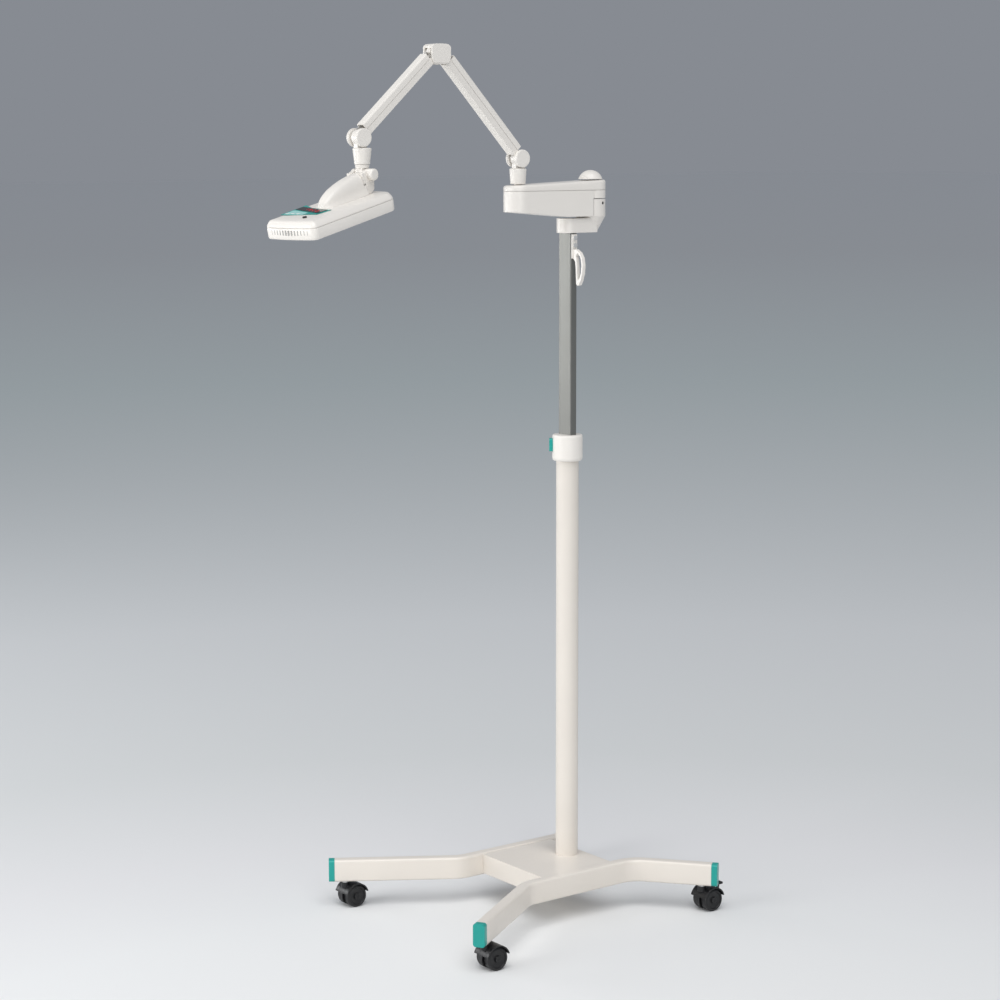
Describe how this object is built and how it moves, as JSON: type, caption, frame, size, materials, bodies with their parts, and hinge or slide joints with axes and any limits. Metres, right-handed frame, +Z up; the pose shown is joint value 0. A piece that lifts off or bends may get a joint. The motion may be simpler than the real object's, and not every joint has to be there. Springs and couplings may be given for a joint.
{
  "type": "infant phototherapy lamp",
  "caption": "Mobile phototherapy lamp: castered base, round column with sliding mast, power arm, parallelogram spring arm and flat tilting LED head.",
  "frame": {"origin": "point on the floor below the axis of the column", "axes": "+Z up; the arm reaches towards -X; +Y is the side of the power inlet, seen from above with +X to the right"},
  "size_m": [1.0075, 0.5858, 1.8945],
  "materials": {
    "base_paint": "gloss powder coat, warm white",
    "housing_plastic": "smooth semi-gloss, off-white",
    "arm_paint": "painted off-white, semi-gloss",
    "teal_plastic": "smooth, blue-green",
    "brushed_alloy": "satin anodised",
    "steel": "bright plated",
    "black_plastic": "satin black",
    "caster_wheel": "satin black tread",
    "bearing_plastic": "dark grey",
    "board": "circuit board green",
    "led_panel": "white board with emitters",
    "heat_sink_metal": "mill finish",
    "diffuser": "frosted clear",
    "display_glass": "dark tinted, glossy"
  },
  "bodies": {
    "base": {"deck": "base_paint", "rail_left": "base_paint", "rail_right": "base_paint", "end_caps": "teal_plastic", "caster_sockets": "steel", "post_tube": "base_paint", "collar": "housing_plastic", "guide_bush": "bearing_plastic"},
    "height_button": {"release_button": "teal_plastic"},
    "mast": {"stem": "brushed_alloy", "bracket": "arm_paint", "bracket_screws": "black_plastic", "swivel_shaft": "steel", "cord_loop": "housing_plastic", "loop_screws": "steel"},
    "power_arm": {"housing_lower": "housing_plastic", "housing_upper": "housing_plastic", "dome_cap": "housing_plastic", "power_board": "board", "inlet_socket": "black_plastic"},
    "switch": {"power_switch": "black_plastic"},
    "shoulder": {"shoulder_neck": "arm_paint", "shoulder_pins": "housing_plastic"},
    "lower_link": {"lower_beam": "arm_paint", "lower_cover": "housing_plastic"},
    "lower_link_rod": {"lower_rod": "steel"},
    "elbow": {"elbow_block": "arm_paint", "elbow_cover": "housing_plastic", "elbow_pins": "steel"},
    "upper_link": {"upper_beam": "arm_paint", "upper_cover": "housing_plastic"},
    "upper_link_rod": {"upper_rod": "steel"},
    "wrist": {"wrist_block": "arm_paint", "wrist_pins": "housing_plastic"},
    "head_swivel_neck": {"head_neck": "arm_paint"},
    "head": {"head_top": "housing_plastic", "head_base": "housing_plastic", "hood": "housing_plastic", "tilt_pin": "steel", "light_window": "diffuser", "led_board": "led_panel", "heat_sink": "heat_sink_metal", "keypad": "teal_plastic", "display_window": "display_glass", "light_sensor": "black_plastic"},
    "caster_fl": {"caster_fl_stem": "steel", "caster_fl_hood": "black_plastic"},
    "caster_fl_pair": {"caster_fl_wheels": "caster_wheel"},
    "caster_fr": {"caster_fr_stem": "steel", "caster_fr_hood": "black_plastic"},
    "caster_fr_pair": {"caster_fr_wheels": "caster_wheel"},
    "caster_rl": {"caster_rl_stem": "steel", "caster_rl_hood": "black_plastic"},
    "caster_rl_pair": {"caster_rl_wheels": "caster_wheel"},
    "caster_rl_lever": {"caster_rl_brake": "black_plastic"},
    "caster_rr": {"caster_rr_stem": "steel", "caster_rr_hood": "black_plastic"},
    "caster_rr_pair": {"caster_rr_wheels": "caster_wheel"},
    "caster_rr_lever": {"caster_rr_brake": "black_plastic"}
  },
  "joints": [
    {"name": "button_press", "type": "slide", "parent": "base", "child": "height_button", "axis": [0.7986, -0.6018, 0], "range_m": [0, 0.0025], "stiffness_N_per_m": 600, "springref_m": -0.002},
    {"name": "height_slide", "type": "slide", "parent": "base", "child": "mast", "axis": [0, 0, 1], "range_m": [-0.32, 0.08]},
    {"name": "housing_swing", "type": "hinge", "parent": "mast", "child": "power_arm", "pos_m": [0.0625, 0, 1.572], "axis": [0, 0, 1], "range_deg": [-90, 90]},
    {"name": "switch_rock", "type": "hinge", "parent": "power_arm", "child": "switch", "pos_m": [-0.01, 0.026, 1.5627], "axis": [0, 0, 1], "range_deg": [0, 14]},
    {"name": "arm_swivel", "type": "hinge", "parent": "power_arm", "child": "shoulder", "pos_m": [-0.136, 0, 1.605], "axis": [0, 0, 1], "range_deg": [-120, 120]},
    {"name": "lower_arm_lift", "type": "hinge", "parent": "shoulder", "child": "lower_link", "pos_m": [-0.136, 0, 1.659], "axis": [0, 1, 0], "range_deg": [-30, 30]},
    {"name": "lower_rod_lift", "type": "hinge", "parent": "shoulder", "child": "lower_link_rod", "pos_m": [-0.12796, 0, 1.66651], "axis": [0, 1, 0], "range_deg": [-30, 30]},
    {"name": "elbow_level", "type": "hinge", "parent": "lower_link", "child": "elbow", "pos_m": [-0.334, 0, 1.871], "axis": [0, 1, 0], "range_deg": [-30, 30]},
    {"name": "upper_arm_lift", "type": "hinge", "parent": "elbow", "child": "upper_link", "pos_m": [-0.356, 0, 1.871], "axis": [0, 1, 0], "range_deg": [-30, 30]},
    {"name": "upper_rod_lift", "type": "hinge", "parent": "elbow", "child": "upper_link_rod", "pos_m": [-0.36339, 0, 1.87915], "axis": [0, 1, 0], "range_deg": [-30, 30]},
    {"name": "wrist_level", "type": "hinge", "parent": "upper_link", "child": "wrist", "pos_m": [-0.54, 0, 1.704], "axis": [0, 1, 0], "range_deg": [-30, 30]},
    {"name": "head_swivel", "type": "hinge", "parent": "wrist", "child": "head_swivel_neck", "pos_m": [-0.533, 0, 1.65], "axis": [0, 0, 1], "range_deg": [-120, 120]},
    {"name": "head_tilt", "type": "hinge", "parent": "head_swivel_neck", "child": "head", "pos_m": [-0.533, 0, 1.63], "axis": [-0.2756, 0.9613, 0], "range_deg": [-20, 20]},
    {"name": "caster_fl_swivel", "type": "hinge", "parent": "base", "child": "caster_fl", "pos_m": [-0.42484, 0.26234, 0.06], "axis": [0, 0, 1], "continuous": true},
    {"name": "caster_fl_roll", "type": "hinge", "parent": "caster_fl", "child": "caster_fl_pair", "pos_m": [-0.40684, 0.26234, 0.025], "axis": [0, 1, 0], "continuous": true},
    {"name": "caster_fr_swivel", "type": "hinge", "parent": "base", "child": "caster_fr", "pos_m": [-0.42484, -0.26234, 0.06], "axis": [0, 0, 1], "continuous": true},
    {"name": "caster_fr_roll", "type": "hinge", "parent": "caster_fr", "child": "caster_fr_pair", "pos_m": [-0.40684, -0.26234, 0.025], "axis": [0, 1, 0], "continuous": true},
    {"name": "caster_rl_swivel", "type": "hinge", "parent": "base", "child": "caster_rl", "pos_m": [0.18915, 0.24418, 0.06], "axis": [0, 0, 1], "continuous": true},
    {"name": "caster_rl_roll", "type": "hinge", "parent": "caster_rl", "child": "caster_rl_pair", "pos_m": [0.17115, 0.24418, 0.025], "axis": [0, 1, 0], "continuous": true},
    {"name": "caster_rl_brake_press", "type": "hinge", "parent": "caster_rl", "child": "caster_rl_lever", "pos_m": [0.15015, 0.24418, 0.053], "axis": [0, -1, 0], "range_deg": [0, 12]},
    {"name": "caster_rr_swivel", "type": "hinge", "parent": "base", "child": "caster_rr", "pos_m": [0.18915, -0.24418, 0.06], "axis": [0, 0, 1], "continuous": true},
    {"name": "caster_rr_roll", "type": "hinge", "parent": "caster_rr", "child": "caster_rr_pair", "pos_m": [0.20715, -0.24418, 0.025], "axis": [0, 1, 0], "continuous": true},
    {"name": "caster_rr_brake_press", "type": "hinge", "parent": "caster_rr", "child": "caster_rr_lever", "pos_m": [0.22815, -0.24418, 0.053], "axis": [0, 1, 0], "range_deg": [0, 12]}
  ],
  "couplings": [
    {"joint": "lower_rod_lift", "follows": "lower_arm_lift", "ratio": 1},
    {"joint": "elbow_level", "follows": "lower_arm_lift", "ratio": -1},
    {"joint": "upper_rod_lift", "follows": "upper_arm_lift", "ratio": 1},
    {"joint": "wrist_level", "follows": "upper_arm_lift", "ratio": -1}
  ]
}
